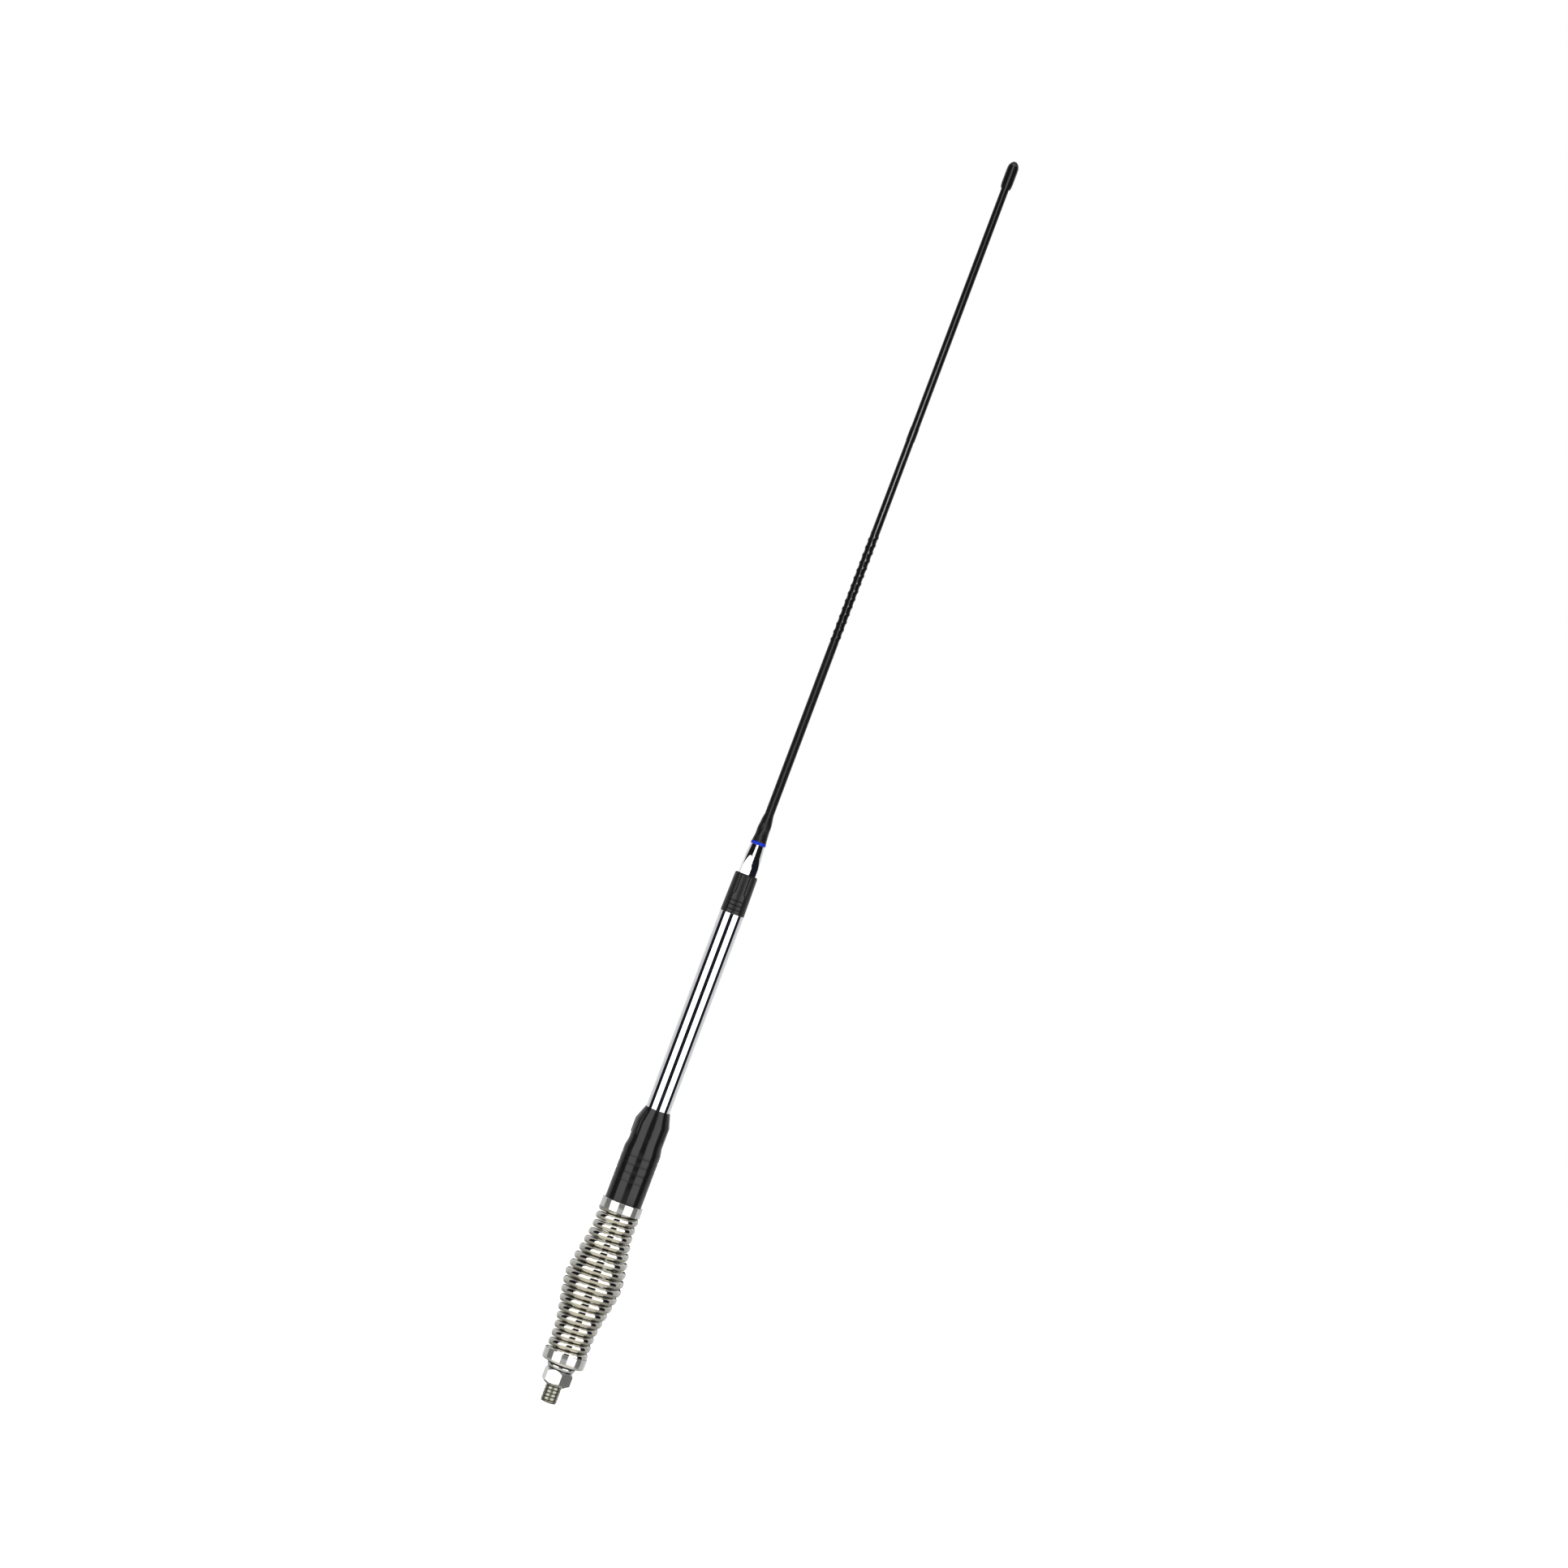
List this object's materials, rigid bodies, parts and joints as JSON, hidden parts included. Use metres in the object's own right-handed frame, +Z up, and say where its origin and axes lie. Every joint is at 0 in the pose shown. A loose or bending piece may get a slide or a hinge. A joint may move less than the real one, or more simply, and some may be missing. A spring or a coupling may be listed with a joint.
{
  "type": "mobile radio antenna",
  "caption": "Whip antenna on a threaded stud, with a barrel spring, moulded base, chrome feed tube, hex whip ferrule and a jacketed fibreglass whip with a phasing coil.",
  "frame": {"origin": "centre of the hex's flat underside, where the antenna rests on its bracket", "axes": "+Z up along the antenna towards the whip's tip, -Y towards the front, +X to the right"},
  "size_m": [0.0471, 0.047, 1.0286],
  "materials": {
    "chrome": "polished chrome plate",
    "nickel": "bright nickel plate",
    "spring_nickel": "bright nickel plate on drawn wire",
    "brass": "turned",
    "copper": "bare copper",
    "gloss_black": "glossy moulding",
    "satin_black": "satin moulding",
    "jacket_black": "shrunk polymer sleeve",
    "ring_blue": "glossy ring",
    "insulator_white": "natural polymer",
    "rod_cream": "drawn fibreglass"
  },
  "bodies": {
    "root": {"mounting_stud": "nickel", "socket_insulator": "insulator_white", "socket_contact": "brass", "cable_lower": "jacket_black", "lower_ferrule": "chrome"},
    "spring": {"barrel_spring": "spring_nickel", "cable_spring": "jacket_black"},
    "mast": {"upper_ferrule": "chrome", "base_insert": "brass", "base_moulding": "gloss_black", "tube_seal": "jacket_black", "mast_tube": "chrome", "cable_upper": "jacket_black", "cable_spacers": "insulator_white", "earth_plug": "brass", "feed_collar": "satin_black", "feed_terminal": "copper", "terminal_nut": "brass", "whip_stud": "brass", "whip_seal": "jacket_black", "whip_ferrule": "chrome", "colour_ring": "ring_blue", "ferrule_boot": "jacket_black", "whip_rod": "rod_cream", "radiator_wire": "copper", "phasing_coil": "copper", "lower_sleeve": "jacket_black", "coil_jacket": "jacket_black", "middle_sleeve": "jacket_black", "upper_sleeve": "jacket_black", "tip_cap": "jacket_black"}
  },
  "joints": [
    {"name": "spring_bend_x", "type": "hinge", "parent": "root", "child": "spring", "pos_m": [0, 0, 0.056], "axis": [1, 0, 0], "range_deg": [-25, 25], "stiffness_Nm_per_rad": 25, "deforming": ["barrel_spring", "cable_spring"]},
    {"name": "spring_bend_y", "type": "hinge", "parent": "spring", "child": "mast", "pos_m": [0, 0, 0.114], "axis": [0, 1, 0], "range_deg": [-25, 25], "stiffness_Nm_per_rad": 25, "deforming": ["barrel_spring", "cable_spring"]}
  ]
}
